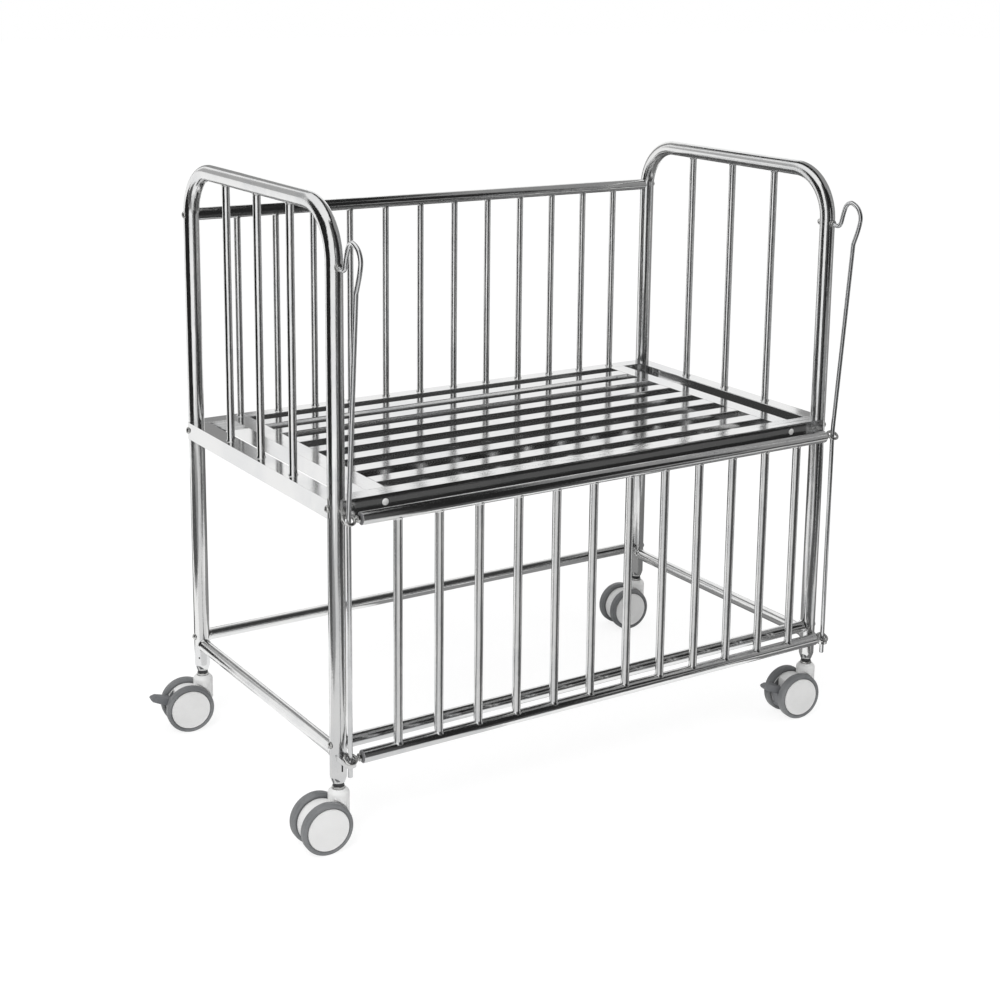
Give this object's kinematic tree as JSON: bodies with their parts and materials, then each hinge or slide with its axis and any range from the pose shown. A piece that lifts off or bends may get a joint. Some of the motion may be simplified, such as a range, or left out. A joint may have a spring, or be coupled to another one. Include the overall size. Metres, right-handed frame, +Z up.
{
  "type": "hospital bassinet",
  "caption": "Steel tube cot on twin wheel casters, with a slatted deck, barred ends and rear guard, and a drop side that slides on hooked guide rods.",
  "frame": {"origin": "on the floor, at the middle of the overall box", "axes": "+Z up, +X to the right along the drop side, +Y from the drop side to the rear guard"},
  "size_m": [1.2978, 0.7822, 1.212],
  "materials": {
    "stainless_steel": "polished stainless steel tube and sheet",
    "plated_steel": "bright plated steel",
    "white_plastic": "smooth white nylon",
    "wheel_grey": "grey moulded wheel with a white face",
    "pedal_grey": "dark grey moulded plastic"
  },
  "bodies": {
    "frame": {"end_tube_left": "stainless_steel", "end_tube_right": "stainless_steel", "end_baluster_left_1": "stainless_steel", "end_baluster_left_2": "stainless_steel", "end_baluster_left_3": "stainless_steel", "end_baluster_right_1": "stainless_steel", "end_baluster_right_2": "stainless_steel", "end_baluster_right_3": "stainless_steel", "end_stretcher_left": "stainless_steel", "end_stretcher_right": "stainless_steel", "end_rail_left": "stainless_steel", "end_rail_right": "stainless_steel", "side_rail_front": "stainless_steel", "side_rail_back": "stainless_steel", "stretcher_front": "stainless_steel", "stretcher_back": "stainless_steel", "rear_guard": "stainless_steel", "deck_cross_left": "stainless_steel", "deck_cross_right": "stainless_steel", "deck_slat_1": "stainless_steel", "deck_slat_2": "stainless_steel", "deck_slat_3": "stainless_steel", "deck_slat_4": "stainless_steel", "deck_slat_5": "stainless_steel", "deck_slat_6": "stainless_steel", "deck_slat_7": "stainless_steel", "guide_rod_left": "plated_steel", "guide_rod_right": "plated_steel", "rod_nut_left": "plated_steel", "rod_nut_right": "plated_steel", "caster_stem_front_left": "plated_steel", "caster_stem_front_right": "plated_steel", "caster_stem_back_left": "plated_steel", "caster_stem_back_right": "plated_steel"},
    "lower_eyes": {"eye_lower_left": "plated_steel", "eye_lower_right": "plated_steel"},
    "side": {"drop_side": "stainless_steel", "eye_upper_left": "plated_steel", "eye_upper_right": "plated_steel"},
    "caster_front_left": {"caster_housing_front_left": "white_plastic", "wheel_axle_front_left": "plated_steel"},
    "caster_front_right": {"caster_housing_front_right": "white_plastic", "wheel_axle_front_right": "plated_steel"},
    "caster_back_left": {"caster_housing_back_left": "white_plastic", "wheel_axle_back_left": "plated_steel"},
    "caster_back_right": {"caster_housing_back_right": "white_plastic", "wheel_axle_back_right": "plated_steel"},
    "roll_front_left_far": {"wheel_front_left_far": "wheel_grey"},
    "roll_front_left_near": {"wheel_front_left_near": "wheel_grey"},
    "roll_front_right_far": {"wheel_front_right_far": "wheel_grey"},
    "roll_front_right_near": {"wheel_front_right_near": "wheel_grey"},
    "roll_back_left_far": {"wheel_back_left_far": "wheel_grey"},
    "roll_back_left_near": {"wheel_back_left_near": "wheel_grey"},
    "roll_back_right_far": {"wheel_back_right_far": "wheel_grey"},
    "roll_back_right_near": {"wheel_back_right_near": "wheel_grey"},
    "pedal_front_right": {"brake_pedal_front_right": "pedal_grey"},
    "pedal_back_left": {"brake_pedal_back_left": "pedal_grey"}
  },
  "joints": [
    {"name": "side_lift", "type": "slide", "parent": "frame", "child": "lower_eyes", "axis": [0, 0, 1], "range_m": [0, 0.414]},
    {"name": "side_tilt", "type": "hinge", "parent": "lower_eyes", "child": "side", "pos_m": [0.05345, -0.33572, 0.187], "axis": [1, 0, 0], "range_deg": [0, 4.2]},
    {"name": "swivel_front_left", "type": "hinge", "parent": "frame", "child": "caster_front_left", "pos_m": [-0.52155, -0.28772, 0.1], "axis": [0, 0, 1], "continuous": true},
    {"name": "swivel_front_right", "type": "hinge", "parent": "frame", "child": "caster_front_right", "pos_m": [0.62845, -0.28772, 0.1], "axis": [0, 0, 1], "continuous": true},
    {"name": "swivel_back_left", "type": "hinge", "parent": "frame", "child": "caster_back_left", "pos_m": [-0.52155, 0.34228, 0.1], "axis": [0, 0, 1], "continuous": true},
    {"name": "swivel_back_right", "type": "hinge", "parent": "frame", "child": "caster_back_right", "pos_m": [0.62845, 0.34228, 0.1], "axis": [0, 0, 1], "continuous": true},
    {"name": "spin_front_left_far", "type": "hinge", "parent": "caster_front_left", "child": "roll_front_left_far", "pos_m": [-0.55651, -0.28589, 0.05], "axis": [0.0523, 0.9986, 0], "continuous": true},
    {"name": "spin_front_left_near", "type": "hinge", "parent": "caster_front_left", "child": "roll_front_left_near", "pos_m": [-0.55651, -0.28589, 0.05], "axis": [0.0523, 0.9986, 0], "continuous": true},
    {"name": "spin_front_right_far", "type": "hinge", "parent": "caster_front_right", "child": "roll_front_right_far", "pos_m": [0.59364, -0.28406, 0.05], "axis": [0.1045, 0.9945, 0], "continuous": true},
    {"name": "spin_front_right_near", "type": "hinge", "parent": "caster_front_right", "child": "roll_front_right_near", "pos_m": [0.59364, -0.28406, 0.05], "axis": [0.1045, 0.9945, 0], "continuous": true},
    {"name": "spin_back_left_far", "type": "hinge", "parent": "caster_back_left", "child": "roll_back_left_far", "pos_m": [-0.55612, 0.34776, 0.05], "axis": [0.1564, 0.9877, 0], "continuous": true},
    {"name": "spin_back_left_near", "type": "hinge", "parent": "caster_back_left", "child": "roll_back_left_near", "pos_m": [-0.55612, 0.34776, 0.05], "axis": [0.1564, 0.9877, 0], "continuous": true},
    {"name": "spin_back_right_far", "type": "hinge", "parent": "caster_back_right", "child": "roll_back_right_far", "pos_m": [0.59358, 0.34533, 0.05], "axis": [0.0872, 0.9962, 0], "continuous": true},
    {"name": "spin_back_right_near", "type": "hinge", "parent": "caster_back_right", "child": "roll_back_right_near", "pos_m": [0.59358, 0.34533, 0.05], "axis": [0.0872, 0.9962, 0], "continuous": true},
    {"name": "press_front_right", "type": "hinge", "parent": "caster_front_right", "child": "pedal_front_right", "pos_m": [0.56281, -0.28082, 0.06], "axis": [-0.1045, -0.9945, 0], "range_deg": [0, 12]},
    {"name": "press_back_left", "type": "hinge", "parent": "caster_back_left", "child": "pedal_back_left", "pos_m": [-0.58674, 0.35261, 0.06], "axis": [-0.1564, -0.9877, 0], "range_deg": [0, 12]}
  ],
  "couplings": [
    {"joint": "side_tilt", "follows": "side_lift", "rad_per_m": 0.1753}
  ]
}
